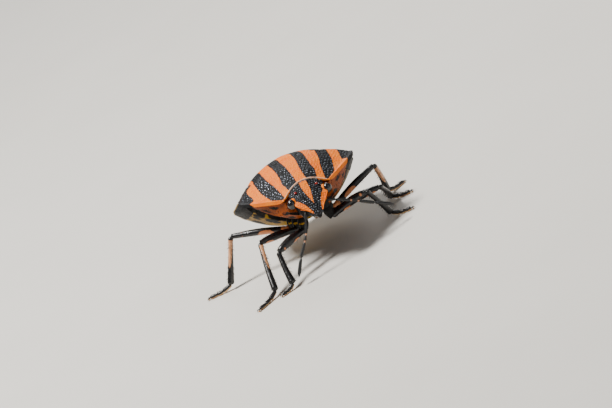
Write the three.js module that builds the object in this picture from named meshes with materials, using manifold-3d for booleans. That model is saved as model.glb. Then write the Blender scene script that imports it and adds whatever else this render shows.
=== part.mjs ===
// A striped shield bug standing on its six legs, life size, in millimetres.
// The body is drawn level, with X to the animal's left, Y to its tail, Z up and the
// origin midway between the shoulder corners. It is then tilted and set over the floor.
import * as THREE from 'three';
import { mergeVertices } from 'three/addons/utils/BufferGeometryUtils.js';
import Module from 'manifold-3d';

const { Matrix4, Vector3 } = THREE;

// How the body sits over the floor
const shoulderHeight = 4.2;
const noseUp = 5;
const leftSideDown = 5;

// Gaps between neighbouring pieces
const plateGap = 0.22;
const jointGap = 0.16;

// Smooth curve through a few hand-set points, flat beyond both ends
function through(points) {
  const slope = (i) => {
    const a = points[Math.max(i - 1, 0)];
    const b = points[Math.min(i + 1, points.length - 1)];
    return (b[1] - a[1]) / (b[0] - a[0]);
  };
  return (at) => {
    const last = points.length - 1;
    if (at <= points[0][0]) return points[0][1];
    if (at >= points[last][0]) return points[last][1];
    const i = points.findIndex((p) => p[0] > at) - 1;
    const [x0, y0] = points[i];
    const [x1, y1] = points[i + 1];
    const span = x1 - x0;
    const t = (at - x0) / span;
    const s = 1 - t;
    return y0 * s * s * (1 + 2 * t) + y1 * t * t * (1 + 2 * s)
      + span * t * s * (slope(i) * s - slope(i + 1) * t);
  };
}

const mix = (a, b, t) => a + (b - a) * t;
const rise = (from, to, at) => THREE.MathUtils.smoothstep(at, from, to);

// Profiles of the whole body along Y
const backHeight = through([[-2.3, 0.02], [-2, 0.16], [-1.5, 0.45], [-1, 0.7], [-0.5, 0.87], [0, 0.98],
  [0.75, 1.06], [1.5, 1.07], [2.5, 0.97], [3.2, 0.86], [4, 0.66], [5, 0.28], [6, -0.3], [6.6, -0.8],
  [6.95, -1.2]]);
const marginHeight = through([[0.5, -0.25], [1.5, -0.5], [2.8, -0.7], [4, -0.85], [5.5, -1.05], [6.9, -1.3]]);
const abdomenWidth = through([[0.8, 2.9], [1.5, 3.2], [2.8, 3.48], [4, 3.34], [5, 2.92], [5.7, 2.44],
  [6.3, 1.78], [6.7, 1.05], [6.95, 0.4]]);
const scutellumWidth = through([[0.9, 2.15], [2.2, 2.12], [4, 2.14], [5, 1.95], [5.6, 1.65],
  [6.1, 1.15], [6.4, 0.65]]);
const bellyDepth = through([[1, 1.2], [1.8, 1.6], [2.8, 1.88], [4, 1.72], [5.5, 1.12], [6.9, 0.2]]);
const archPower = 2.1;
const bellyPower = 2.2;
const wingReach = 0.85;
const rimStart = 0.885;
const coverDepth = 0.62;
const rimThickness = 0.13;

function backSurface(x, y) {
  const across = Math.min(Math.abs(x) / abdomenWidth(y), 1);
  return mix(marginHeight(y), backHeight(y), 1 - across ** archPower);
}

// A closed plate made from a box: u runs across, v along, and top tells the upper skin
function plate(across, along, place, spreadU = (u) => u, spreadV = (v) => v) {
  const geometry = new THREE.BoxGeometry(1, 1, 1, across, along, 1);
  const position = geometry.attributes.position;
  for (let i = 0; i < position.count; i += 1) {
    const u = spreadU(position.getX(i) * 2);
    const v = spreadV(position.getY(i) + 0.5);
    position.setXYZ(i, ...place(u, v, position.getZ(i) > 0));
  }
  return geometry;
}

// A closed round limb along a path, its radius given along the path
function limb(path, radius, sides, steps, groundAt = null) {
  const curve = new THREE.CatmullRomCurve3(path.map((p) => new Vector3(...p)));
  const geometry = new THREE.CylinderGeometry(1, 1, 1, sides, steps);
  const position = geometry.attributes.position;
  for (let i = 0; i < position.count; i += 1) {
    const t = position.getY(i) + 0.5;
    const centre = curve.getPointAt(t);
    const along = curve.getTangentAt(t);
    const side = new Vector3(0, 0, 1).cross(along).normalize();
    const up = side.clone().cross(along);
    const r = radius(t);
    centre.addScaledVector(side, position.getX(i) * r).addScaledVector(up, position.getZ(i) * r);
    if (groundAt !== null) centre.z = Math.max(centre.z, groundAt);
    position.setXYZ(i, centre.x, centre.y, centre.z);
  }
  return geometry;
}

const toBody = new Matrix4().makeRotationY(THREE.MathUtils.degToRad(leftSideDown))
  .multiply(new Matrix4().makeRotationX(THREE.MathUtils.degToRad(-noseUp)))
  .setPosition(0, 0, shoulderHeight);

function closed(geometry) {
  geometry.deleteAttribute('normal');
  geometry.deleteAttribute('uv');
  return mergeVertices(geometry, 1e-4);
}

const group = new THREE.Group();
function addPiece(name, geometry, colour, roughness, posed = true) {
  const material = new THREE.MeshStandardMaterial({ color: colour, roughness, metalness: 0 });
  const mesh = new THREE.Mesh(closed(geometry), material);
  if (posed) mesh.geometry.applyMatrix4(toBody);
  mesh.name = name;
  group.add(mesh);
  return mesh;
}

const orange = 0xe8792f;
const black = 0x17181c;
const darkBrown = 0x2a1c17;
const tawny = 0xb0703a;

// Pronotum, the broad shield behind the head, with pointed shoulder corners
const pronotumWidth = through([[0, 1.3], [0.25, 1.88], [0.6, 2.62], [0.85, 3.12], [1, 3.3]]);
const pronotumFront = -2;
const pronotumBack = 0.74;
function pronotumPoint(u, v) {
  const across = Math.abs(u);
  const frontY = pronotumFront - 0.2 * across ** 2;
  const backY = pronotumBack - 0.66 * across ** 8;
  const y = mix(frontY, backY, v);
  const margin = mix(-0.4, 0, v);
  return [u * pronotumWidth(v), y, mix(margin, backHeight(y), 1 - across ** archPower)];
}
const pronotumThickness = (u) => 0.14 + 0.38 * (1 - Math.abs(u) ** 4);
const towardEdges = (u) => Math.sign(u) * (1 - (1 - Math.abs(u)) ** 1.35);
addPiece('pronotum', plate(20, 9, (u, v, top) => {
  const [x, y, z] = pronotumPoint(u, v);
  return [x, y, top ? z : z - pronotumThickness(u)];
}, towardEdges), orange, 0.35);

// Scutellum, the long shield that covers most of the abdomen
const scutellumFront = pronotumBack + plateGap;
const scutellumBack = 6.5;
addPiece('scutellum', plate(12, 14, (u, v, top) => {
  const row = mix(scutellumFront, scutellumBack, v);
  const bend = 0.45 * rise(0.6, 1, v);
  const x = u * scutellumWidth(row - bend);
  const y = row - bend * u * u;
  const z = backSurface(x, y) + 0.04;
  return [x, y, top ? z : z - 0.2 - 0.2 * (1 - u * u)];
}), orange, 0.35);

// Wing covers, the strips that show between the scutellum and the rim of the abdomen
const wingFront = 1;
const wingBack = 5.1;
[['left', 1], ['right', -1]].forEach(([side, sign]) => {
  addPiece(`wing_${side}`, plate(3, 10, (u, v, top) => {
    const y = mix(wingFront, wingBack, v);
    const inner = scutellumWidth(y) + 0.13;
    const outer = abdomenWidth(y) * wingReach;
    const x = sign * mix(inner, outer, (sign * u + 1) / 2);
    const z = backSurface(x, y) - 0.03;
    return [x, y, top ? z : z - 0.3];
  }), tawny, 0.4);
});

// Abdomen, hollowed on top for the shield and wings, with a thin raised rim
const abdomenBack = 6.9;
const abdomenSpread = through([[0, 0], [0.17, 0.22], [0.34, 0.45], [0.5, 0.66], [0.67, rimStart - 0.012],
  [0.83, rimStart + 0.012], [1, 1]]);
const rowSpread = through([[0, 0], [0.55, 0.62], [0.79, 0.9], [0.86, 0.93], [0.93, 0.955], [1, 1]]);
addPiece('abdomen', plate(24, 14, (u, v, top) => {
  const across = Math.abs(u);
  const frontRow = top ? pronotumBack + plateGap : 2 - 0.95 * across ** 2;
  const row = mix(frontRow, abdomenBack, v);
  const bend = 0.6 * rise(0.6, 1, v);
  const x = u * abdomenWidth(row - bend);
  const y = row - bend * u * u;
  if (top) {
    const besideRim = 1 - rise(rimStart - 0.013, rimStart + 0.013, across);
    const cover = coverDepth * besideRim * (1 - rise(0.925, 0.96, v));
    return [x, y, backSurface(x, y) - cover];
  }
  return [x, y, marginHeight(y) - rimThickness - bellyDepth(y) * (1 - across ** bellyPower)];
}, (u) => Math.sign(u) * abdomenSpread(Math.abs(u)), rowSpread), 0xc99a4a, 0.45);

// Thorax under the pronotum, with six coxae fused to it
const hips = {
  front: [0.8, -1, -2.42],
  middle: [0.95, 0.2, -2.48],
  hind: [1.1, 1.2, -2.52],
};
const thoraxWidth = through([[0, 1.12], [0.3, 1.8], [0.6, 2.4], [0.85, 2.9], [1, 2.85]]);
const keel = through([[0, -1.9], [0.6, -1.88], [1.05, -1.7], [1.6, -1.32], [2.1, -0.95], [2.55, -0.6],
  [2.9, -0.45]]);
const leastThickness = 0.1;
const thorax = plate(14, 7, (u, v, top) => {
  const across = Math.abs(u);
  const backY = top ? pronotumBack - 0.5 * across ** 6 : 1.76 - 1.15 * across ** 2;
  const y = mix(-1.82, backY, v);
  const x = u * thoraxWidth(v);
  const underShield = Math.abs(x) / pronotumWidth(v);
  const ceiling = mix(mix(-0.4, 0, v), backHeight(y), 1 - underShield ** archPower)
    - pronotumThickness(underShield) - plateGap;
  if (top) return [x, y, ceiling];
  const frontLift = 0.35 * (1 - rise(0, 0.3, v));
  const backSag = 0.25 * rise(0.6, 1, v) * (1 - across ** 2);
  const breast = keel(Math.abs(x)) + frontLift - backSag;
  return [x, y, Math.min(breast, ceiling - leastThickness)];
});

const wasm = await Module();
wasm.setup();
function solid(geometry) {
  const shape = closed(geometry);
  return new wasm.Manifold(new wasm.Mesh({
    numProp: 3,
    vertProperties: new Float32Array(shape.attributes.position.array),
    triVerts: new Uint32Array(shape.index.array),
  }));
}
function toGeometry(shape) {
  const mesh = shape.getMesh();
  const geometry = new THREE.BufferGeometry();
  geometry.setAttribute('position', new THREE.BufferAttribute(new Float32Array(mesh.vertProperties), 3));
  geometry.setIndex(new THREE.BufferAttribute(new Uint32Array(mesh.triVerts), 1));
  return geometry;
}
let thoraxSolid = solid(thorax);
Object.values(hips).forEach(([x, y, z]) => {
  [1, -1].forEach((sign) => {
    const coxaRoot = [sign * (x - 0.12), y, -1.45];
    const coxaPath = [coxaRoot, [sign * (x - 0.05), y, z / 2 - 0.85], [sign * x, y, z + 0.04]];
    const coxa = limb(coxaPath, through([[0, 0.34], [0.6, 0.32], [1, 0.2]]), 9, 4);
    thoraxSolid = thoraxSolid.add(solid(coxa));
  });
});
const thoraxGeometry = toGeometry(thoraxSolid);
const thoraxMesh = new THREE.Mesh(mergeVertices(thoraxGeometry, 1e-4),
  new THREE.MeshStandardMaterial({ color: 0x9a5a2a, roughness: 0.45, metalness: 0 }));
thoraxMesh.geometry.applyMatrix4(toBody);
thoraxMesh.name = 'thorax';
group.add(thoraxMesh);

// Head, a wedge that slopes down in front of the pronotum
const headWidth = through([[0, 0.74], [0.2, 0.8], [0.37, 0.79], [0.48, 0.9], [0.58, 0.74], [0.72, 0.5],
  [0.88, 0.28], [1, 0.13]]);
const headTop = [[-2.25, -0.13], [-3.48, -1.62]];
const headUnder = [[-2.14, -1.5], [-3.38, -1.8]];
addPiece('head', plate(8, 10, (u, v, top) => {
  const line = top ? headTop : headUnder;
  const crown = 0.1 * Math.sin(Math.PI * Math.min(v * 1.1, 1)) - 0.16 * u * u * (1 - v);
  const throat = -0.12 * (1 - u * u) * (1 - v);
  const bulge = top ? crown : throat;
  const widthShare = top ? 1 : 0.82;
  return [-u * headWidth(v) * widthShare, mix(line[0][0], line[1][0], v) - bulge * 0.79,
    mix(line[0][1], line[1][1], v) + bulge * (top ? 0.61 : 1)];
}), black, 0.35);

// Eyes stand out at both sides of the head
const eyeRadii = [0.19, 0.23, 0.25];
const eyeCentre = [1.06, -2.47, -0.7];
[['left', 1], ['right', -1]].forEach(([side, sign]) => {
  const eye = new THREE.SphereGeometry(1, 12, 8);
  eye.scale(...eyeRadii);
  eye.translate(sign * eyeCentre[0], eyeCentre[1], eyeCentre[2]);
  addPiece(`eye_${side}`, eye, 0x0c0d12, 0.1);
});

// Beak folded back under the head and between the legs
const beakPath = [[0, -3.12, -1.9], [0, -2.1, -1.88], [0, -1.2, -2.07], [0, 0, -2.14], [0, 0.9, -2.34]];
const beakRadius = through([[0, 0.09], [0.3, 0.11], [0.7, 0.09], [0.95, 0.06], [1, 0.02]]);
addPiece('rostrum', limb(beakPath, beakRadius, 8, 10), darkBrown, 0.4);

// Legs: each has its knee, ankle and toe over the floor
const legs = {
  left_front: {
    hip: 'front', sign: 1, knee: [2.74, -1.5, 2.13],
    ankle: [3.39, -0.99, 0.3], toe: [4.38, -1.51], thigh: 0.25,
  },
  left_middle: {
    hip: 'middle', sign: 1, knee: [3.61, -0.2, 1.6],
    ankle: [4.06, 1.69, 0.3], toe: [5.05, 1.3], thigh: 0.23,
  },
  left_hind: {
    hip: 'hind', sign: 1, knee: [4.05, 1.5, 2.3],
    ankle: [4.2, 3, 0.3], toe: [5.2, 3.6], thigh: 0.2,
  },
  right_front: {
    hip: 'front', sign: -1, knee: [-2.83, -2, 1.83],
    ankle: [-3.03, -3.1, 0.3], toe: [-3.78, -3.3], thigh: 0.25,
  },
  right_middle: {
    hip: 'middle', sign: -1, knee: [-3.35, -0.8, 2.42],
    ankle: [-3.98, -2.63, 0.3], toe: [-5.2, -3.45], thigh: 0.23,
  },
  right_hind: {
    hip: 'hind', sign: -1, knee: [-4.34, 2.5, 2.61],
    ankle: [-5.57, 2.6, 0.3], toe: [-6.85, 3.1], thigh: 0.2,
  },
};
const hipClearance = 0.38;
const soleHeight = 0.1;
Object.entries(legs).forEach(([name, leg]) => {
  const [x, y, z] = hips[leg.hip];
  const hip = new Vector3(leg.sign * x, y, z).applyMatrix4(toBody);
  const knee = new Vector3(...leg.knee);
  const ankle = new Vector3(...leg.ankle);
  const toe = new Vector3(leg.toe[0], leg.toe[1], soleHeight);
  const between = (a, b, skipStart, skipEnd) => {
    const along = b.clone().sub(a).normalize();
    return [a.clone().addScaledVector(along, skipStart), b.clone().addScaledVector(along, -skipEnd)];
  };
  const asPath = (list) => list.map((p) => [p.x, p.y, p.z]);

  const femur = between(hip, knee, hipClearance, jointGap);
  const femurRadius = through([[0, 0.13], [0.12, 0.17], [0.55, leg.thigh], [0.85, leg.thigh * 0.85], [1, 0.1]]);
  addPiece(`femur_${name}`, limb(asPath(femur), femurRadius, 9, 7), black, 0.35, false);

  const tibia = between(knee, ankle, jointGap, jointGap);
  const tibiaRadius = through([[0, 0.1], [0.1, 0.15], [0.6, 0.15], [0.92, 0.17], [1, 0.12]]);
  addPiece(`tibia_${name}`, limb(asPath(tibia), tibiaRadius, 9, 6), black, 0.35, false);

  const [start] = between(ankle, toe, 0.14, 0);
  const step = (t, height) => [mix(start.x, toe.x, t), mix(start.y, toe.y, t), height];
  const tarsusPath = [step(0, start.z), step(0.35, 0.14), step(0.7, soleHeight), step(1, soleHeight)];
  const tarsusRadius = through([[0, 0.09], [0.12, 0.12], [0.36, 0.14], [0.42, 0.1], [0.6, 0.13], [0.66, 0.09],
    [0.85, 0.12], [0.96, 0.1], [1, 0.05]]);
  addPiece(`tarsus_${name}`, limb(tarsusPath, tarsusRadius, 8, 12, 0), darkBrown, 0.4, false);
});

// Antennae, five joints each
const antennae = {
  left: [[0.72, -2.86, 3.14], [1.52, -2.9, 2.63], [1.9, -2.85, 2.35], [2.65, -2.7, 1.77],
    [3.55, -2.45, 1.05]],
  right: [[-0.76, -2.98, 3.08], [-1.16, -3.1, 2.3], [-1.44, -3.2, 1.97], [-2.09, -3.35, 1.27],
    [-2.65, -3.5, 0.53]],
};
const antennaRadius = through([[0, 0.05], [0.06, 0.09], [0.27, 0.07], [0.31, 0.075], [0.4, 0.075], [0.46, 0.06],
  [0.52, 0.085], [0.7, 0.09], [0.735, 0.055], [0.78, 0.1], [0.9, 0.105], [0.97, 0.07], [1, 0.02]]);
Object.entries(antennae).forEach(([side, path]) => {
  addPiece(`antenna_${side}`, limb(path, antennaRadius, 8, 22), black, 0.5, false);
});

// The model stands with the middle of its footprint at the origin
const bounds = new THREE.Box3().setFromObject(group);
const middle = bounds.getCenter(new Vector3());
group.children.forEach((mesh) => mesh.geometry.translate(-middle.x, -middle.y, -bounds.min.z));

export default group;
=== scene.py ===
import bpy
import math
import random
from mathutils import Euler, Matrix, Vector, noise


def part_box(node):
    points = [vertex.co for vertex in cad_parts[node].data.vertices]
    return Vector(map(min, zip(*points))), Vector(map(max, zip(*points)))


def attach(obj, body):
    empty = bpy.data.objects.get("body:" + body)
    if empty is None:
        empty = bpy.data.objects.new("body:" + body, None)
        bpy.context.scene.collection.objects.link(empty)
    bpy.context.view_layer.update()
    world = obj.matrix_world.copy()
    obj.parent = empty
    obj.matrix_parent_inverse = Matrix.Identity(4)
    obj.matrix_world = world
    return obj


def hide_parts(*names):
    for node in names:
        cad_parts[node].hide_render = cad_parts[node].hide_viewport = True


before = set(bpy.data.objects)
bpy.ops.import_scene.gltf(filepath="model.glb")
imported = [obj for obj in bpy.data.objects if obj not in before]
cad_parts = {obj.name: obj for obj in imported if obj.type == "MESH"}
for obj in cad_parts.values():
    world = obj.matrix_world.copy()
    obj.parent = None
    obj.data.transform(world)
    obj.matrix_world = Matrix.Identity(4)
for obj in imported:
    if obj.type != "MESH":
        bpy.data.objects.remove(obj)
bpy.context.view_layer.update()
random.seed(7)
mm = 0.001
upward = Vector((0, 0, 1))

# The body's pose over the floor, as in the part
pose = {"shoulderHeight": 4.2, "noseUp": 5, "leftSideDown": 5, "eye": (1.06, -2.47, -0.7)}
toBody = (Matrix.Translation((0, 0, pose["shoulderHeight"]))
          @ Matrix.Rotation(math.radians(pose["leftSideDown"]), 4, "Y")
          @ Matrix.Rotation(math.radians(-pose["noseUp"]), 4, "X"))
eyeLow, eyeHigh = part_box("eye_left")
eyeInFile = (eyeLow + eyeHigh) / 2 / mm
shift = eyeInFile - toBody @ Vector(pose["eye"])  # from the shoulders' frame to the footprint's
toFile = Matrix.Scale(mm, 4) @ Matrix.Translation(shift)
bodyToFile = toFile @ toBody
print("frame loaded, shift in mm", [round(v, 3) for v in shift])


# A smooth curve through points of place and value, level past its ends
def through(points):
    def slope(i):
        a = points[max(i - 1, 0)]
        b = points[min(i + 1, len(points) - 1)]
        return (b[1] - a[1]) / (b[0] - a[0])

    def value(at):
        if at <= points[0][0]:
            return points[0][1]
        if at >= points[-1][0]:
            return points[-1][1]
        i = next(k for k in range(len(points)) if points[k][0] > at) - 1
        (x0, y0), (x1, y1) = points[i], points[i + 1]
        span = x1 - x0
        t = (at - x0) / span
        s = 1 - t
        return (y0 * s * s * (1 + 2 * t) + y1 * t * t * (1 + 2 * s)
                + span * t * s * (slope(i) * s - slope(i + 1) * t))
    return value


def mix(a, b, t):
    return a + (b - a) * t


# 0 below low, 1 above high, eased between them
def rise(low, high, at):
    t = min(max((at - low) / (high - low), 0), 1)
    return t * t * (3 - 2 * t)


# 1 at the centre, fading out over the width
def bell(at, centre, width):
    return math.exp(-((at - centre) / width) ** 2)


# Shader maths
class Wire:
    def __init__(self, paint, socket):
        self.paint = paint
        self.socket = socket

    def math(self, operation, *others, clamp=False):
        inputs = {i: v for i, v in enumerate((self,) + others)}
        return self.paint.node("ShaderNodeMath", {"operation": operation, "use_clamp": clamp}, inputs)

    def __add__(self, other):
        return self.math("ADD", other)

    def __radd__(self, other):
        return self.math("ADD", other)

    def __sub__(self, other):
        return self.math("SUBTRACT", other)

    def __rsub__(self, other):
        return self.paint.number(other).math("SUBTRACT", self)

    def __mul__(self, other):
        return self.math("MULTIPLY", other)

    def __rmul__(self, other):
        return self.math("MULTIPLY", other)

    def __truediv__(self, other):
        return self.math("DIVIDE", other)

    def clamp(self):
        return self.math("ADD", 0.0, clamp=True)


class Paint:
    def __init__(self, name):
        self.material = bpy.data.materials.new(name)
        self.material.use_nodes = True
        self.tree = self.material.node_tree
        self.shader = self.tree.nodes["Principled BSDF"]

    def plug(self, socket, value):
        if isinstance(value, Wire):
            self.tree.links.new(value.socket, socket)
        else:
            socket.default_value = value

    def node(self, kind, settings, inputs, out=0):
        made = self.tree.nodes.new(kind)
        for key, value in settings.items():
            setattr(made, key, value)
        for key, value in inputs.items():
            self.plug(made.inputs[key], value)
        return Wire(self, made.outputs[out])

    def number(self, value):
        return self.node("ShaderNodeMath", {"operation": "ADD"}, {0: value, 1: 0.0})

    def place(self):
        return self.node("ShaderNodeTexCoord", {}, {}, "Object")

    def read(self, name):
        return self.node("ShaderNodeAttribute", {"attribute_name": name}, {}, "Fac")

    def noise(self, grainMm, detail=2.0):
        return self.node("ShaderNodeTexNoise", {"noise_dimensions": "3D"},
                         {"Vector": self.place(), "Scale": 1 / (grainMm * mm), "Detail": detail}, "Fac")

    def cells(self, sizeMm, randomness=0.8):
        return self.node("ShaderNodeTexVoronoi", {"voronoi_dimensions": "3D"},
                         {"Vector": self.place(), "Scale": 1 / (sizeMm * mm), "Randomness": randomness},
                         "Distance")

    def blend(self, factor, colourA, colourB):
        return self.node("ShaderNodeMix", {"data_type": "RGBA"}, {0: factor, 6: colourA, 7: colourB}, 2)

    def bump(self, height, depthMm):
        return self.node("ShaderNodeBump", {}, {"Height": height, "Distance": depthMm * mm}, "Normal")

    def finish(self, **sockets):
        for key, value in sockets.items():
            self.plug(self.shader.inputs[key.replace("_", " ")], value)
        return self.material


def srgb(r, g, b):
    linear = [((c / 255 + 0.055) / 1.055) ** 2.4 if c > 10 else c / 255 / 12.92 for c in (r, g, b)]
    return (*linear, 1)


# Pitted cuticle: black where the piece's ink is above 0, coloured elsewhere, with wet-looking glints in its
# pits that are partly a painted highlight in the base colour and partly small metallic specks
pitLook = {"centre": 0.1, "slope": 0.26, "glintFrom": 0.42, "glintOver": 0.36, "glintPaintOnColour": 0.22,
           "glintPaintOnBlack": 0.6, "metal": 0.75, "smoother": 0.26, "warmPaintedGlint": (255, 196, 120),
           "coldGlint": (196, 204, 220), "edgeHighlightColour": (255, 206, 170), "edgeHighlightShare": 0.7,
           "roughBlack": 0.56, "shine": 0.16}


def cuticle(name, light, deep, dark=(11, 12, 15), pitMm=0.05, pitDepth=0.012, edge=0.02, ragged=0.08,
            rough=0.52, pitShade=0.35):
    p = Paint(name)
    mask = ((p.read("ink") + (p.noise(0.13) - 0.5) * ragged) / edge + 0.5).clamp()
    pit = (1 - (p.cells(pitMm) - pitLook["centre"]) / pitLook["slope"]).clamp()  # 1 in the middle of a pit
    warm = p.blend(((p.noise(0.7, 3.0) - 0.35) * 2.2).clamp(), srgb(*light), srgb(*deep))
    coloured = p.blend(pit * pitShade, warm, srgb(*[c * 0.45 for c in deep]))
    black = p.blend(((p.noise(0.4) - 0.4) * 2).clamp(), srgb(*dark), srgb(*[c + 10 for c in dark]))
    uneven = ((p.noise(0.11, 1.0) - 0.36) * 3).clamp()
    glint = ((p.read("pit") - pitLook["glintFrom"]) / pitLook["glintOver"]).clamp() * uneven
    # The glints' pale tint in the base colour is a painted highlight, warm on the coloured parts and cold on
    # the black; their metallic share reflects the lamps
    colour = p.blend(mask,
                     p.blend(glint * pitLook["glintPaintOnColour"], coloured, srgb(*pitLook["warmPaintedGlint"])),
                     p.blend(glint * pitLook["glintPaintOnBlack"], black, srgb(*pitLook["coldGlint"])))
    paintedEdgeHighlight = (p.read("pit") - 1).clamp() * pitLook["edgeHighlightShare"]  # painted highlight along a raised edge, where pit is above 1
    colour = p.blend(paintedEdgeHighlight, colour, srgb(*pitLook["edgeHighlightColour"]))
    height = (1 - pit) + p.noise(0.02) * 0.12 + p.noise(0.25) * 0.5
    roughness = mask * (pitLook["roughBlack"] - rough) + rough
    roughness = roughness + (p.noise(0.18) - 0.5) * 0.14 - glint * pitLook["smoother"]
    return p.finish(Base_Color=colour, Roughness=roughness, Normal=p.bump(height, pitDepth),
                    Metallic=glint * mask * pitLook["metal"], Specular_IOR_Level=pitLook["shine"])


# Smooth cuticle of legs, antennae and beak, with a fine grain and a thin coat
smoothLook = {"edge": 0.04, "coat": 0.15, "coatRough": 0.2}


def smoothCuticle(name, light, deep, dark, rough, ragged=0.05, grainMm=0.05, depth=0.004):
    p = Paint(name)
    mask = ((p.read("ink") + (p.noise(0.1) - 0.5) * ragged) / smoothLook["edge"] + 0.5).clamp()
    tone = p.blend(((p.noise(0.3, 3.0) - 0.35) * 2.2).clamp(), srgb(*light), srgb(*deep))
    grain = p.noise(grainMm, 3.0)
    dimples = (1 - (p.cells(grainMm * 1.8) - 0.1) / 0.3).clamp()
    return p.finish(Base_Color=p.blend(mask, tone, srgb(*dark)), Roughness=(grain - 0.5) * 0.2 + rough,
                    Normal=p.bump(grain * 0.5 - dimples * 0.7, depth),
                    Coat_Weight=smoothLook["coat"], Coat_Roughness=smoothLook["coatRough"])


def eyeGloss():
    p = Paint("eyeGloss")
    facets = p.cells(0.016, randomness=0.15)
    colour = p.blend(facets.clamp(), srgb(8, 9, 15), srgb(20, 18, 24))
    return p.finish(Base_Color=colour, Roughness=0.2, Normal=p.bump(1 - facets, 0.0004), Coat_Weight=0.45,
                    Coat_Roughness=0.08, IOR=1.5)


def ocellusGloss():
    p = Paint("ocellusGloss")
    colour = p.blend(p.noise(0.05).clamp(), srgb(190, 40, 24), srgb(120, 16, 12))
    return p.finish(Base_Color=colour, Roughness=0.12, Coat_Weight=0.7, Coat_Roughness=0.05)


# Materials
lowerLook = {"dark": (14, 13, 13), "pitMm": 0.15, "pitDepth": 0.03, "edge": 0.05, "ragged": 0.16,
             "rough": 0.45, "pitShade": 0.85}
shieldPaint = cuticle("shieldCuticle", (242, 126, 0), (230, 98, 0))
headPaint = cuticle("headCuticle", (242, 126, 0), (228, 96, 0), ragged=0.04)
wingPaint = cuticle("wingCuticle", (196, 92, 40), (120, 60, 34), (34, 24, 22), pitMm=0.07, rough=0.45)
# Belly and side colours: the animal's own yellow and orange, darkened as painted shade for the underside
bellyPaintWithShade = cuticle("bellyCuticleShaded", (168, 128, 18), (126, 86, 10), **lowerLook)
sidePaintWithShade = cuticle("sideCuticleShaded", (146, 66, 4), (96, 44, 6), **lowerLook)
legPaint = smoothCuticle("legCuticle", (222, 146, 96), (178, 98, 50), (11, 11, 13), rough=0.3,
                         ragged=0.12, grainMm=0.075, depth=0.012)
shinPaint = smoothCuticle("shinCuticle", (220, 162, 118), (176, 112, 74), (12, 11, 12), rough=0.34,
                          ragged=0.09, grainMm=0.075, depth=0.012)
footPaint = smoothCuticle("footCuticle", (236, 196, 140), (186, 108, 58), (16, 13, 13), rough=0.42)
antennaPaint = smoothCuticle("antennaCuticle", (210, 150, 112), (166, 100, 66), (13, 13, 15), rough=0.5,
                             grainMm=0.03)
beakPaint = smoothCuticle("beakCuticle", (120, 66, 36), (70, 40, 26), (28, 20, 18), rough=0.3)
eyePaint = eyeGloss()
ocellusPaint = ocellusGloss()
print("materials mixed")


# Modelling
def fresh():
    if bpy.context.object and bpy.context.object.mode != "OBJECT":
        bpy.ops.object.mode_set(mode="OBJECT")
    bpy.ops.object.select_all(action="DESELECT")


def pickOnly(piece):
    fresh()
    piece.select_set(True)
    bpy.context.view_layer.objects.active = piece


def named(name):
    piece = bpy.context.object
    piece.name = name
    piece.data.name = name
    return piece


def startEdit():
    bpy.ops.object.mode_set(mode="EDIT")
    bpy.ops.mesh.select_all(action="SELECT")


def turnOutwards():
    startEdit()
    bpy.ops.mesh.normals_make_consistent(inside=False)
    bpy.ops.object.mode_set(mode="OBJECT")


def keepValues(mesh, layer, values):
    mesh.attributes.new(layer, "FLOAT", "POINT").data.foreach_set("value", values)


# Round pits in uneven rows over the shields: 0 between them, 1 in the middle of a pit
def pitAt(x, y, spacing):
    column = x / spacing
    row = y / spacing
    nearest = 9.0
    for i in (-1, 0, 1):
        cellY = math.floor(row) + i
        offset = 0.5 * (cellY % 2)
        for j in (-1, 0, 1):
            cellX = math.floor(column - offset) + j
            stray = noise.cell_vector(Vector((cellX + 0.5, cellY + 0.5, 0.5)))
            awayX = cellX + offset + 0.25 + 0.5 * stray.x - column
            awayY = cellY + 0.25 + 0.5 * stray.y - row
            nearest = min(nearest, math.hypot(awayX, awayY))
    return 1 - rise(0.08, 0.46, nearest)


# A closed plate: a grid is extruded down, then its two skins are laid along the body.
# A plate with marks on its side wall has the wall in several steps.
def makePlate(name, across, along, place, spread=lambda u: u, wallSteps=1, wallInk=None):
    fresh()
    bpy.ops.mesh.primitive_grid_add(x_subdivisions=across, y_subdivisions=along, size=2)
    piece = named(name)
    startEdit()
    for _ in range(wallSteps):
        bpy.ops.mesh.extrude_region_move(TRANSFORM_OT_translate={"value": (0, 0, -1)})
    turnOutwards()
    inks = []
    pits = []
    for vertex in piece.data.vertices:
        u = spread(vertex.co.x)
        v = (vertex.co.y + 1) / 2
        step = round(-vertex.co.z)
        spot, ink, pit = place(u, v, step == 0)
        if 0 < step < wallSteps:
            down = step / wallSteps
            spot = Vector(place(u, v, True)[0]).lerp(Vector(spot), down)
            ink = wallInk(spot[1], down)
        vertex.co = spot
        inks.append(ink)
        pits.append(pit)
    keepValues(piece.data, "ink", inks)
    keepValues(piece.data, "pit", pits)
    return piece


# Puts more of a plate's columns near its side edges
def edgeSpread(power):
    return lambda u: math.copysign(1 - (1 - abs(u)) ** power, u)


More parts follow.
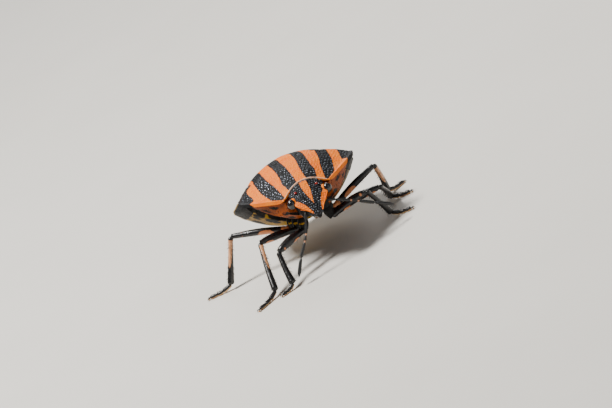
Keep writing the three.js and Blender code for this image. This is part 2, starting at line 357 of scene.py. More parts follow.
# A round limb: a disc is extruded ring by ring, then the rings are led along a path
def makeLimb(name, path, radius, sides, steps, ink=None, ring=None, flatten=1.0, lowest=None):
    fresh()
    bpy.ops.mesh.primitive_circle_add(vertices=sides, radius=1, fill_type="NGON")
    piece = named(name)
    startEdit()
    for _ in range(steps):
        bpy.ops.mesh.extrude_region_move(TRANSFORM_OT_translate={"value": (0, 0, 1)})
    turnOutwards()
    points = [Vector(p) for p in path]
    lengths = [0.0]
    for a, b in zip(points, points[1:]):
        lengths.append(lengths[-1] + (b - a).length)
    whole = lengths[-1]
    curves = [through([(l, p[k]) for l, p in zip(lengths, points)]) for k in range(3)]
    frames = []
    for i in range(steps + 1):
        at = whole * i / steps
        centre = Vector([c(at) for c in curves])
        ahead = Vector([c(min(at + 0.01, whole)) - c(max(at - 0.01, 0)) for c in curves]).normalized()
        side = upward.cross(ahead).normalized()
        frames.append((centre, side, ahead.cross(side)))
    inks = []
    for vertex in piece.data.vertices:
        i = round(vertex.co.z)
        t = i / steps
        centre, side, up = frames[i]
        angle = math.atan2(vertex.co.y, vertex.co.x)
        r = radius(t) * (ring(t, angle) if ring else 1)
        spot = centre + side * math.cos(angle) * r + up * math.sin(angle) * r * flatten
        if lowest is not None:
            spot.z = max(spot.z, lowest)
        inks.append(ink(t, angle) if ink else 1.0)
        vertex.co = spot
    keepValues(piece.data, "ink", inks)
    return piece


# How far an angle round a limb is from its upper side
def fromTop(angle):
    return (angle - math.pi / 2 + math.pi) % (2 * math.pi) - math.pi


# A rounded lump from a ball that is pressed and turned
def makeLump(name, centre, radii, turn=(0, 0, 0), segments=24, rings=16, ink=lambda co: 1.0):
    fresh()
    bpy.ops.mesh.primitive_uv_sphere_add(segments=segments, ring_count=rings, radius=1)
    piece = named(name)
    turned = Euler(turn).to_matrix().to_4x4()
    piece.data.transform(Matrix.Translation(centre) @ turned @ Matrix.Diagonal((*radii, 1)))
    keepValues(piece.data, "ink", [ink(vertex.co) for vertex in piece.data.vertices])
    return piece


# Where hairs stand on a straight stretch of limb, how they lean and how long they are
def limbHairs(a, b, radius, count, lengths, start=0.08, end=0.98):
    along = (b - a).normalized()
    side = upward.cross(along).normalized()
    up = along.cross(side)
    roots = []
    for _ in range(count):
        t = random.uniform(start, end)
        angle = random.uniform(0, 2 * math.pi)
        out = side * math.cos(angle) + up * math.sin(angle)
        root = a + (b - a) * t + out * radius(t) * 0.97
        roots.append((root, out * 0.75 + along * 0.65, random.uniform(*lengths)))
    return roots


# Short stiff hairs, each a slim three-sided spike, joined to the piece that carries them
def addHairs(piece, roots, thick=0.011):
    points = []
    faces = []
    for root, lean, length in roots:
        lean = lean.normalized()
        side = lean.orthogonal().normalized()
        other = lean.cross(side)
        first = len(points)
        base = root - lean * 0.02
        for k in range(3):
            a = 2 * math.pi * k / 3
            points.append(base + (side * math.cos(a) + other * math.sin(a)) * thick)
        bow = side * length * 0.12
        points.append(root + lean * length + bow)
        for corners in ((0, 1, 3), (1, 2, 3), (2, 0, 3), (2, 1, 0)):
            faces.append([first + corner for corner in corners])
    mesh = bpy.data.meshes.new("hairs")
    mesh.from_pydata(points, [], faces)
    keepValues(mesh, "ink", [1.0] * len(points))
    hairs = bpy.data.objects.new("hairs", mesh)
    bpy.context.collection.objects.link(hairs)
    pickOnly(piece)
    hairs.select_set(True)
    bpy.ops.object.join()


def joinPieces(name, pieces):
    pickOnly(pieces[0])
    for piece in pieces[1:]:
        piece.select_set(True)
    bpy.ops.object.join()
    return named(name)


# Smooth shading, a material and the piece's place in the file's frame
def settle(piece, material, nodes, matrix, angle=50):
    pickOnly(piece)
    bpy.ops.object.shade_smooth_by_angle(angle=math.radians(angle))
    piece.data.transform(matrix)
    turnOutwards()
    piece.data.materials.clear()
    piece.data.materials.append(material)
    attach(piece, "root")
    if nodes:
        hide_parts(*nodes)


# Profiles of the whole body, in millimetres, as in the part
body = {
    "roundness": 2.1, "frontCornerDrop": -0.4,
    "backHeight": [(-2.3, 0.02), (-2, 0.16), (-1.5, 0.45), (-1, 0.7), (-0.5, 0.87), (0, 0.98), (0.75, 1.06),
                   (1.5, 1.07), (2.5, 0.97), (3.2, 0.86), (4, 0.66), (5, 0.28), (6, -0.3), (6.6, -0.8),
                   (6.95, -1.2)],
    "marginHeight": [(0.5, -0.25), (1.5, -0.5), (2.8, -0.7), (4, -0.85), (5.5, -1.05), (6.9, -1.3)],
    "abdomenWidth": [(0.8, 2.9), (1.5, 3.2), (2.8, 3.48), (4, 3.34), (5, 2.92), (5.7, 2.44), (6.3, 1.78),
                     (6.7, 1.05), (6.95, 0.4)],
    "scutellumWidth": [(0.9, 2.15), (2.2, 2.12), (4, 2.14), (5, 1.95), (5.6, 1.65), (6.1, 1.15), (6.4, 0.65)],
    "bellyDepth": [(1, 1.2), (1.8, 1.6), (2.8, 1.88), (4, 1.72), (5.5, 1.12), (6.9, 0.2)],
    "pronotumWidth": [(0, 1.3), (0.25, 1.88), (0.6, 2.62), (0.85, 3.12), (1, 3.3)],
}
backHeight = through(body["backHeight"])
marginHeight = through(body["marginHeight"])
abdomenWidth = through(body["abdomenWidth"])
scutellumWidth = through(body["scutellumWidth"])
bellyDepth = through(body["bellyDepth"])
pronotumWidth = through(body["pronotumWidth"])


def backSurface(x, y):
    across = min(abs(x) / abdomenWidth(y), 1)
    return mix(marginHeight(y), backHeight(y), 1 - across ** body["roundness"])


def shoulderSurface(across, y, v):
    edge = mix(body["frontCornerDrop"], 0, v)
    return mix(edge, backHeight(y), 1 - across ** body["roundness"])


# The two black stripes on each half of a shield, from their edges
def stripes(look):
    innerLow, innerHigh, outerLow, outerHigh = [through(line) for line in look["stripes"]]

    def ink(a, y):
        return max(min(a - innerLow(y), innerHigh(y) - a), min(a - outerLow(y), outerHigh(y) - a))
    return ink


# Pronotum
pronotum = {
    "front": -2.0, "back": 0.86, "across": 230, "along": 116, "edgeSpread": 1.3,
    "thinEdge": 0.14, "thickMiddle": 0.38,
    "sideRim": 0.05, "frontRim": 0.012, "furrow": 0.045, "calli": 0.035, "rolledBack": 0.06,
    "pitSpacing": 0.14, "pitDepth": 0.045,
    "highlightRim": 0.02, "corner": 2.58,
    "stripes": ([(-2.1, 0.27), (-1.75, 0.26), (-1, 0.275), (-0.3, 0.33), (0.8, 0.375)],
                [(-2.1, 0.8), (-1.75, 0.87), (-1.4, 0.94), (-1, 0.9), (0, 0.9), (0.8, 0.925)],
                [(-2.2, 1.16), (-1.9, 1.2), (-1, 1.33), (-0.5, 1.45), (0.8, 1.55)],
                [(-1.9, 1.72), (-1, 1.95), (-0.5, 2.07), (0.8, 2.12)]),
}
pronotumStripes = stripes(pronotum)


def pronotumInk(x, y, across, v):
    a = abs(x)
    ink = min(pronotumStripes(a, y), (1 - across) * 1.6 - 0.06)
    corner = min(a - pronotum["corner"] - 0.04 * math.sin(y * 5), y + 0.58 + (a - 2.8) * 0.5)
    return min(max(ink, corner), v * 2.8 - 0.03)


def pronotumPoint(u, v, top):
    across = abs(u)
    frontY = pronotum["front"] - 0.2 * across ** 2
    backY = pronotum["back"] - 0.12 * bell(across, 0, 0.5) - 0.74 * across ** 8
    y = mix(frontY, backY, v)
    x = u * pronotumWidth(v)
    z = shoulderSurface(across, y, v)
    ink = pronotumInk(x, y, across, v)
    if top:
        z += pronotum["sideRim"] * bell(across, 1.0, 0.03) * rise(0, 0.1, v)
        z += pronotum["frontRim"] * bell(v, 0.0, 0.015)
        z -= pronotum["furrow"] * bell(v, 0.4, 0.09) * (1 - across ** 6)
        z += pronotum["calli"] * bell(abs(x), 0.75, 0.3) * bell(v, 0.22, 0.08)
        z -= pronotum["rolledBack"] * bell(v, 1.03, 0.035) * (1 - across ** 12)
        pit = pitAt(x, y, pronotum["pitSpacing"]) * min(1, 8 * v, 12 * (1 - across))
        paintedEdgeHighlight = 2 * bell(v, 0, pronotum["highlightRim"]) if across < 0.93 else 0  # painted highlight along the front rim, which lifts pit past 1
        return (x, y, z - pronotum["pitDepth"] * pit), ink, pit + paintedEdgeHighlight
    thickness = pronotum["thinEdge"] + pronotum["thickMiddle"] * (1 - across ** 4)
    z -= thickness * (1 - 0.6 * bell(v, 1, 0.06)) * (0.3 + 0.7 * rise(0, 0.12, v))
    if across < 0.6:
        ink = max(ink, 0.9 * bell(v, 0, 0.05))
    if across > 0.8:
        ink = max(ink, 0.3 - abs(y + 0.45))  # black patch below the side edge
    return (x, y, z), ink, 0


piece = makePlate("pronotum", pronotum["across"], pronotum["along"], pronotumPoint,
                  edgeSpread(pronotum["edgeSpread"]))
settle(piece, shieldPaint, ["pronotum"], bodyToFile)
print("pronotum laid")


# Scutellum
scutellum = {
    "front": 0.62, "back": 6.52, "across": 170, "along": 230, "edgeSpread": 1.2,
    "lift": 0.01, "frontDip": 0.16, "keel": 0.03, "loweredSide": 0.03, "roundedBack": 0.45,
    "thinEdge": 0.1, "thickMiddle": 0.2, "pitSpacing": 0.14, "pitDepth": 0.045, "plainBack": 6.38,
    "stripes": ([(0.6, 0.36), (3, 0.37), (5, 0.33), (6, 0.24), (6.5, 0.14)],
                [(0.6, 0.93), (2, 0.9), (3.5, 0.85), (5, 0.72), (6, 0.5), (6.5, 0.28)],
                [(0.6, 1.5), (2, 1.45), (3.5, 1.46), (4.6, 1.46), (5.4, 1.42)],
                [(0.6, 2.02), (2, 1.97), (3.5, 1.97), (4.6, 1.86), (5.5, 1.42)]),
}
scutellumStripes = stripes(scutellum)


def scutellumPoint(u, v, top):
    row = mix(scutellum["front"], scutellum["back"], v)
    bend = scutellum["roundedBack"] * rise(0.6, 1, v)
    x = u * scutellumWidth(row - bend)
    y = row - bend * u * u
    a = abs(x)
    z = backSurface(x, y) + scutellum["lift"] - scutellum["frontDip"] * (1 - rise(0.66, 0.95, y))
    z += scutellum["keel"] * bell(a, 0, 0.35) * rise(0.9, 2.5, y)
    z -= scutellum["loweredSide"] * bell(abs(u), 1, 0.05)
    ink = min(scutellumStripes(a, y), scutellum["plainBack"] - y)
    if top:
        pit = pitAt(x, y, scutellum["pitSpacing"]) * min(1, 10 * (1 - abs(u)), 12 * (1 - v))
        return (x, y, z - scutellum["pitDepth"] * pit), ink, pit
    z -= scutellum["thinEdge"] + scutellum["thickMiddle"] * (1 - u * u)
    return (x, y, z), ink, 0


piece = makePlate("scutellum", scutellum["across"], scutellum["along"], scutellumPoint,
                  edgeSpread(scutellum["edgeSpread"]))
settle(piece, shieldPaint, ["scutellum"], bodyToFile)
print("scutellum laid")


# Wing covers
wing = {
    "front": 0.7, "back": 6.0, "across": 36, "along": 150, "thickness": 0.16,
    "tuck": 0.12, "reach": 0.875, "taperFrom": 4.9, "tipWidth": 0.14,
    "veins": (0.3, 0.62), "vein": 0.022, "rim": 0.03,
    "pitSpacing": 0.15, "pitDepth": 0.02, "pitGlint": 0.8, "blackUntil": 3.5,
}


def wingPoint(sign):
    def place(u, v, top):
        y = mix(wing["front"], wing["back"], v)
        inner = scutellumWidth(y) - wing["tuck"]
        taper = rise(wing["taperFrom"], wing["back"], y)
        outer = mix(abdomenWidth(y) * wing["reach"], inner + wing["tipWidth"], taper)
        t = (sign * u + 1) / 2
        x = sign * mix(inner, outer, t)
        z = backSurface(x, y) - 0.03 - 0.14 * (1 - rise(0.7, 1.1, y)) - 0.05 * bell(t, 0, 0.2)
        for vein in wing["veins"]:
            z += wing["vein"] * bell(t, vein, 0.05)
        z += wing["rim"] * bell(t, 1, 0.06)
        cloud = 0.05 * noise.noise(Vector((x * 2, y * 2, 3)))
        ink = 0.2 - abs(t - 0.3) * 0.5 + cloud - 0.4 * bell(t, 1, 0.2)
        ink = max(ink, 0.3 * (wing["blackUntil"] - y) + 0.4 * (1 - t))
        if top:
            pit = pitAt(x, y, wing["pitSpacing"])
            return (x, y, z - wing["pitDepth"] * pit), ink, pit * wing["pitGlint"]
        return (x, y, z - wing["thickness"]), ink, 0
    return place


for side, sign in (("Left", 1), ("Right", -1)):
    piece = makePlate("wing" + side, wing["across"], wing["along"], wingPoint(sign))
    settle(piece, wingPaint, ["wing_" + side.lower()], bodyToFile)
print("wing covers laid")


# Abdomen: hollowed top, chequered rim and spotted belly
abdomen = {
    "front": 0.78, "back": 6.9, "across": 110, "along": 130, "roundedBack": 0.6, "widest": 3.48,
    "rimStart": 0.88, "rimThickness": 0.13, "rimRidge": 0.04, "cover": 0.55, "groove": 0.035,
    "turnCentre": 2.2, "blockTurn": 17, "blackFront": 2.3,
    "rings": (1.35, 2.3, 3.25, 4.15, 4.98, 5.7, 6.28),
    "spots": ((0.5, 0.13), (1.25, 0.17), (2.05, 0.22), (2.75, 0.17)),
    "frontBlots": ((2.5, 1.41, 0.2), (1.51, 1.55, 0.2), (2.98, 1.58, 0.15), (2.54, 2.45, 0.22),
                   (1.7, 2.0, 0.16), (3.0, 2.2, 0.13)),
    "spread": [(0, 0), (0.6, 0.78), (0.72, 0.865), (0.84, 0.9), (1, 1)],
}
abdomenSpread = through(abdomen["spread"])


# The belly's rings curve forward at the sides
def ringAt(y, a):
    return y + 0.12 * (a / 3.4) ** 2


# Pale and black blocks in turn round the rim, black in front of them
def rimInk(a, y):
    turn = math.degrees(math.atan2(a, y - abdomen["turnCentre"]))
    block = abs(turn % abdomen["blockTurn"] - abdomen["blockTurn"] / 2)  # 0 in the middle of a pale block
    return max((block - abdomen["blockTurn"] * 0.26) * 0.055, abdomen["blackFront"] - y)


def bellyInk(a, y):
    ink = -1.0
    for i, (ring, after) in enumerate(zip(abdomen["rings"], abdomen["rings"][1:])):
        middle = (ring + after) / 2
        narrow = abdomenWidth(middle) / abdomen["widest"]
        for spotX, size in abdomen["spots"]:
            awayY = ringAt(y, a) - middle - 0.05 * math.sin(spotX * 9 + i * 4)
            away = math.hypot((a - spotX * narrow) / 1.25, awayY)
            ink = max(ink, size * (0.85 + 0.25 * math.sin(i * 5 + spotX * 7)) - away)
    for spotX, spotY, size in abdomen["frontBlots"]:
        ink = max(ink, size - math.hypot((a - spotX) / 1.4, y - spotY))
    if y < 2.1:
        ink = max(ink, 0.9 - a)
    return ink


def abdomenPoint(u, v, top):
    across = abs(u)
    frontRow = abdomen["front"] if top else 1.9 - across ** 2
    row = mix(frontRow, abdomen["back"], v)
    bend = abdomen["roundedBack"] * rise(0.6, 1, v)
    x = u * abdomenWidth(row - bend)
    y = row - bend * u * u
    a = abs(x)
    ring = min(abs(ringAt(y, a) - r) for r in abdomen["rings"])
    if top:
        cover = abdomen["cover"] * (1 - rise(abdomen["rimStart"] - 0.02, abdomen["rimStart"] + 0.015, across))
        cover *= 1 - 0.8 * rise(0.66, 0.78, v) - 0.2 * rise(0.93, 0.965, v)
        z = backSurface(x, y) - cover - 0.03 * bell(ring, 0, 0.03) * rise(0.85, 0.95, across)
        z += abdomen["rimRidge"] * bell(across, 1, 0.03)
        underShields = across < abdomen["rimStart"] - 0.02 and v < 0.95
        return (x, y, z), 0.5 if underShields else rimInk(a, y), 0
    z = marginHeight(y) - abdomen["rimThickness"] - bellyDepth(y) * (1 - across ** 2.2)
    z += abdomen["groove"] * bell(ring, 0, 0.035) * (1 - across ** 8)
    z -= 0.03 * bell(across, 0.9, 0.03)
    ink = bellyInk(a, y)
    if across > abdomen["rimStart"] or v > 0.95:
        ink = max(ink, rimInk(a, y))
    return (x, y, z), ink, 0


piece = makePlate("abdomen", abdomen["across"], abdomen["along"], abdomenPoint,
                  lambda u: math.copysign(abdomenSpread(abs(u)), u))
settle(piece, bellyPaintWithShade, ["abdomen"], bodyToFile)
print("abdomen laid")


# Thorax: the folded side of the pronotum, the side plates and the breast
thorax = {
    "front": -1.98, "across": 110, "along": 80, "edgeSpread": 1.15, "wallSteps": 12,
    "grooves": (-0.2, 0.8), "grooveDepth": 0.06, "beakChannel": 0.07,
    "width": [(0, 1.26), (0.25, 1.78), (0.6, 2.52), (0.82, 2.95), (0.92, 2.98), (1, 2.72)],
    "keel": [(0, -1.88), (0.6, -1.86), (1.05, -1.7), (1.6, -1.32), (2.1, -0.95), (2.55, -0.56), (2.8, -0.3),
             (3.25, -0.12)],
    "blots": ((1.9, -1.38, 0.12), (1.45, -1.88, 0.1), (2.6, -0.5, 0.17), (1.6, -1.1, 0.16), (2.75, 0.0, 0.16),
              (2.1, 0.1, 0.24), (1.5, -0.2, 0.26), (1.2, -0.9, 0.2), (2.55, 0.45, 0.2), (1.7, 0.75, 0.22),
              (1.2, -1.5, 0.18), (2.2, 1.0, 0.16), (1.45, 1.3, 0.2)),
    "wallBlots": ((-1.43, 0.38, 0.085), (-2.0, 0.92, 0.09), (-0.9, 0.75, 0.07)),
}
keel = through(thorax["keel"])
thoraxWidth = through(thorax["width"])


# Blots on the folded side, down from 0 at the pronotum to 1 at the breast
def foldInk(y, down):
    ink = -1.0
    for spotY, spotDown, size in thorax["wallBlots"]:
        ink = max(ink, size - math.hypot((y - spotY) / 3, (down - spotDown) * 0.7))
    return ink


def breastInk(a, y):
    ink = max(0.62 - a, -1.0)
    for i, (spotX, spotY, size) in enumerate(thorax["blots"]):
        ink = max(ink, size - math.hypot((a - spotX) / (1.3 + 0.3 * math.sin(i * 3)), y - spotY))
    return ink


def thoraxPoint(u, v, top):
    across = abs(u)
    backY = 0.8 - 0.5 * across ** 6 if top else 1.85 - 1.2 * across ** 2
    y = mix(thorax["front"] - 0.16 * across ** 2, backY, v)
    x = u * thoraxWidth(v)
    a = abs(x)
    under = min(a / pronotumWidth(v), 1)
    ceiling = shoulderSurface(under, y, v) - 0.1 - 0.3 * (1 - under ** 4)
    if top:
        return (x, y, ceiling), max(y - 0.1, foldInk(y, 0)), 0
    floorZ = keel(a) + 0.35 * (1 - rise(0, 0.3, v)) - 0.25 * rise(0.6, 1, v) * (1 - across ** 2)
    z = min(floorZ, ceiling - 0.04)
    for groove in thorax["grooves"]:
        z += thorax["grooveDepth"] * bell(y + 0.12 * a, groove, 0.04)
    z += thorax["beakChannel"] * bell(a, 0.0, 0.16) * rise(0.05, 0.3, v)
    ink = breastInk(a, y)
    if across > 0.97 or v < 0.02:
        ink = max(ink, foldInk(y, 1))
    return (x, y, z), ink, 0


piece = makePlate("thorax", thorax["across"], thorax["along"], thoraxPoint, edgeSpread(thorax["edgeSpread"]),
                  thorax["wallSteps"], foldInk)
settle(piece, sidePaintWithShade, ["thorax"], bodyToFile)
print("thorax laid")


# Head
head = {
    "across": 80, "along": 110, "edgeSpread": 1.15, "bevel": 0.02, "pitSpacing": 0.12, "pitDepth": 0.035,
    "topRun": ((-1.96, 0.13), (-3.48, -1.62)), "underRun": ((-1.9, -1.5), (-3.42, -1.74)),
    "bulge": 0.11, "seam": 0.025, "turnedEdge": 0.025,
    "width": [(0, 1.0), (0.14, 0.96), (0.3, 0.9), (0.44, 0.9), (0.52, 0.92), (0.6, 0.79), (0.73, 0.54),
              (0.88, 0.32), (1, 0.15)],
    "middleStrip": [(0, 0.2), (0.3, 0.18), (0.44, 0.12), (0.56, 0.06), (0.68, 0.0), (0.7, -0.05)],
    "sideStrip": [(0, 1.1), (0.28, 0.97), (0.4, 0.79), (0.52, 0.6), (0.68, 0.4), (0.86, 0.25), (1, 0.18)],
    "middleLobe": [(0.3, 0.3), (0.6, 0.22), (0.85, 0.08), (0.95, 0.03)],
}
headWidth = through(head["width"])
middleStrip = through(head["middleStrip"])
sideStrip = through(head["sideStrip"])
middleLobe = through(head["middleLobe"])


def headTop(u, v):
    (y0, z0), (y1, z1) = head["topRun"]
    x = u * headWidth(v)
    a = abs(x)
    bulge = head["bulge"] * math.sin(math.pi * min(v * 1.1, 1))
    bulge -= 0.12 * u * u * (1 - v) * rise(0, 0.4, v) + 0.02 * abs(u) ** 3
    bulge -= head["seam"] * bell(a, middleLobe(v), 0.03) * rise(0.3, 0.45, v)
    bulge += head["turnedEdge"] * bell(abs(u), 1, 0.06) * rise(0.45, 0.6, v)
    pit = pitAt(x, v * 2.1, head["pitSpacing"]) * min(1, 10 * (1 - abs(u)), 12 * (1 - v))
    bulge -= head["pitDepth"] * pit
    y = mix(y0, y1, v) - bulge * 0.79  # the bulge stands square to the sloping head
    z = mix(z0, z1, v) + bulge * 0.61 - 0.27 * u * u * (1 - v) ** 2
    ink = min(a - middleStrip(v), sideStrip(v) - a)
    return (x, y, z), max(ink, (v - 0.9) * 2), pit


def headUnder(u, v):
    (y0, z0), (y1, z1) = head["underRun"]
    x = u * headWidth(v)
    z = mix(z0, z1, v) - 0.12 * (1 - u * u) * (1 - v)
    ink = 0.3 - abs(abs(x) - 0.3) * 1.2 + 0.1 * math.sin(v * 12)
    narrow = mix(0.84, 0.4, rise(0.35, 0.55, v))
    return (x * narrow, mix(y0, y1, v), z), max(ink, 0.5 * rise(0.3, 0.5, v)), 0


def headPoint(u, v, top):
    return headTop(u, v) if top else headUnder(u, v)


piece = makePlate("head", head["across"], head["along"], headPoint, edgeSpread(head["edgeSpread"]))
pickOnly(piece)
bpy.ops.object.modifier_add(type="BEVEL")
bevel = piece.modifiers[-1]
bevel.width = head["bevel"]
bevel.segments = 2
bevel.limit_method = "ANGLE"
bevel.angle_limit = math.radians(50)
bpy.ops.object.modifier_apply(modifier=bevel.name)
settle(piece, headPaint, ["head"], bodyToFile, angle=60)


# Eyes with their sockets, and the two ocelli
eyes = {"radii": (0.22, 0.25, 0.27), "inset": 0.05, "bulgeOut": 0.04, "turn": 0.25,
        "socketInset": 0.2, "socketRadii": (0.17, 0.22, 0.23),
        "ocellusAt": (0.6, -2.36, -0.27), "ocellusRadii": (0.075, 0.06, 0.075), "ocellusTurn": 0.9}
for side, sign in (("Left", 1), ("Right", -1)):
    x, y, z = pose["eye"]
    eye = makeLump("eye" + side, (sign * (x - eyes["inset"]), y, z), eyes["radii"],
                   (0, 0, sign * eyes["turn"]), segments=48, rings=32)
    for vertex in eye.data.vertices:
        outward = max(sign * vertex.co.x - x, 0) / eyes["radii"][0]
        vertex.co.x += sign * eyes["bulgeOut"] * outward ** 2
    settle(eye, eyePaint, ["eye_" + side.lower()], bodyToFile)
    socket = makeLump("eyeSocket" + side, (sign * (x - eyes["socketInset"]), y + 0.08, z + 0.03),
                      eyes["socketRadii"], segments=32, rings=20, ink=lambda co: -0.2)
    settle(socket, headPaint, [], bodyToFile)
    ocellusX, ocellusY, ocellusZ = eyes["ocellusAt"]
    ocellus = makeLump("ocellus" + side, (sign * ocellusX, ocellusY, ocellusZ), eyes["ocellusRadii"],
                       (eyes["ocellusTurn"], 0, 0))
    settle(ocellus, ocellusPaint, [], bodyToFile)
print("head, eyes and ocelli set")


# Beak
beak = {
    "sides": 20, "steps": 90, "bandEvery": 0.27, "groove": 0.12,
    "path": [(0, -3.2, -1.74), (0, -2.7, -1.76), (0, -2.1, -1.82), (0, -1.2, -2.05), (0, 0, -2.12),
             (0, 0.9, -2.32)],
    "radius": [(0, 0.1), (0.12, 0.12), (0.25, 0.1), (0.27, 0.075), (0.3, 0.1), (0.52, 0.09), (0.55, 0.065),
               (0.58, 0.085), (0.78, 0.07), (0.8, 0.05), (0.83, 0.062), (0.96, 0.04), (1, 0.005)],
}


def beakInk(t, angle):
    return 0.1 - 0.25 * bell(t % beak["bandEvery"], 0.13, 0.05) * rise(0.2, 0.3, t)


def beakRing(t, angle):
    return 1 - beak["groove"] * bell(fromTop(angle), 0, 0.25)


piece = makeLimb("rostrum", beak["path"], through(beak["radius"]), beak["sides"], beak["steps"],
                 beakInk, beakRing)
settle(piece, beakPaint, ["rostrum"], bodyToFile)
print("beak folded")


# Legs: hips in the body's frame, knees, ankles and toes over the floor
legRows = {"front": {"hip": (0.8, -1, -2.42), "thigh": 0.25},
           "middle": {"hip": (0.95, 0.2, -2.48), "thigh": 0.23},
           "hind": {"hip": (1.1, 1.2, -2.52), "thigh": 0.2}}
legs = {
    "left_front": {"knee": (2.74, -1.5, 2.13), "ankle": (3.39, -0.99, 0.3), "toe": (4.38, -1.51)},
    "left_middle": {"knee": (3.61, -0.2, 1.6), "ankle": (4.06, 1.69, 0.3), "toe": (5.05, 1.3)},
    "left_hind": {"knee": (4.05, 1.5, 2.3), "ankle": (4.2, 3, 0.3), "toe": (5.2, 3.6)},
    "right_front": {"knee": (-2.83, -2, 1.83), "ankle": (-3.03, -3.1, 0.3), "toe": (-3.78, -3.3)},
    "right_middle": {"knee": (-3.35, -0.8, 2.42), "ankle": (-3.98, -2.63, 0.3), "toe": (-5.2, -3.45)},
    "right_hind": {"knee": (-4.34, 2.5, 2.61), "ankle": (-5.57, 2.6, 0.3), "toe": (-6.85, 3.1)},
}
legLook = {
    "shin": 0.155, "thighSag": 0.06, "shinBow": 0.04, "sole": 0.1, "claw": 0.16, "pad": (0.045, 0.045, 0.03),
    "hairsOnThigh": 40, "hairsOnShin": 90, "hairsOnFoot": 46,
    "shortHair": (0.06, 0.12), "longHair": (0.1, 0.2),
    "coxaRadius": [(0, 0.25), (0.4, 0.29), (0.8, 0.22), (0.97, 0.15), (1, 0.02)],
    "footRadius": [(0, 0.06), (0.05, 0.1), (0.3, 0.13), (0.38, 0.12), (0.4, 0.075), (0.44, 0.1), (0.6, 0.12),
                   (0.66, 0.1), (0.68, 0.07), (0.72, 0.09), (0.88, 0.115), (0.97, 0.085), (1, 0.02)],
    "clawRadius": [(0, 0.032), (0.6, 0.022), (1, 0.003)],
    "footArch": ((0.15, 0.23), (0.4, 0.14), (0.7, 0.11), (1, 0.115)),
}


def coxaInk(t, angle):
    return 0.14 - 0.26 * bell(t, 0.4, 0.1) * rise(0.5, 1, math.cos(angle - 0.6))


def thighInk(row):
    def ink(t, angle):
        below = -math.sin(angle)  # 1 on the underside
        if row == "middle":
            mark = 0.3 * bell(t, 0.8, 0.1) * rise(0, 0.7, below)
            return 0.12 - mark - 0.2 * bell(t, 0.45, 0.2) * rise(0.5, 1, below)
        if row == "hind":
            mark = 0.3 * bell(t, 0.42, 0.12) * rise(-1.1, 0.1, below)
            return 0.12 - mark - 0.22 * bell(t, 0.12, 0.08) - 0.1 * bell(t, 0.8, 0.04)
        mark = 0.17 * bell(t, 0.84, 0.045) * rise(0, 0.9, math.cos(angle * 2 + 0.6))
        return 0.12 - mark - 0.2 * bell(t, 0.4, 0.15) * rise(0, 0.7, below)
    return ink


# Pale streaks on the shins, wide at the knee and gone before the foot
def shinInk(leg, row):
    def ink(t, angle):
        if row == "front":
            return 0.12 - 0.1 * bell(t, 0.42, 0.27) * (0.5 + 0.5 * math.cos(angle))
        start, end = (-0.6, 0.74) if row == "hind" else (-0.1, 0.7)
        facing = math.cos(angle + 1.9 if leg == "left_hind" else angle - 0.6)
        return 0.1 - 0.25 * rise(0, 0.5, facing - mix(start, 1, t / end)) * rise(0.04, 0.1, t)
    return ink


# Four blunt edges and a groove along the upper side
def shinRing(t, angle):
    groove = 0.14 * bell(fromTop(angle), 0, 0.28) * math.sin(math.pi * t)
    return 1 + 0.05 * math.cos(4 * angle) - groove


def footInk(t, angle):
    return 0.06 + 0.16 * math.sin(angle)


def addCoxa(title, sign, root, hip, knee):
    x, y, z = root
    top = toBody @ Vector((sign * (x - 0.12), y - 0.02, z + 0.62))
    coxa = makeLimb("coxa" + title, [top, top.lerp(hip, 0.5), hip, hip.lerp(knee, 0.02)],
                    through(legLook["coxaRadius"]), 20, 16, coxaInk)
    settle(coxa, bellyPaintWithShade, [], toFile)


def addThigh(leg, title, row, hip, knee):
    thick = legRows[row]["thigh"]
    radius = through([(0, 0.1), (0.02, 0.15), (0.09, 0.19), (0.12, 0.165), (0.16, 0.175), (0.55, thick),
                      (0.85, thick * 0.84), (0.95, 0.15), (0.985, 0.14), (1, 0.03)])
    middle = hip.lerp(knee, 0.5) + Vector((0, 0, legLook["thighSag"]))
    thigh = makeLimb("femur" + title, [hip, middle, knee], radius, 22, 44, thighInk(row), flatten=0.94)
    addHairs(thigh, limbHairs(hip, knee, radius, legLook["hairsOnThigh"], legLook["shortHair"], 0.2))
    settle(thigh, legPaint, ["femur_" + leg], toFile)


def addShin(leg, title, row, knee, ankle):
    thick = legLook["shin"]
    radius = through([(0, 0.05), (0.02, 0.11), (0.06, 0.135), (0.12, 0.125), (0.5, thick * 0.92),
                      (0.9, thick * 1.12), (0.975, thick * 1.05), (1, 0.06)])
    bow = (ankle - knee).cross(upward).normalized() * legLook["shinBow"]
    shin = makeLimb("tibia" + title, [knee, knee.lerp(ankle, 0.5) + bow, ankle], radius, 24, 44,
                    shinInk(leg, row), shinRing)
    addHairs(shin, limbHairs(knee, ankle, radius, legLook["hairsOnShin"], legLook["longHair"]))
    settle(shin, shinPaint, ["tibia_" + leg], toFile)


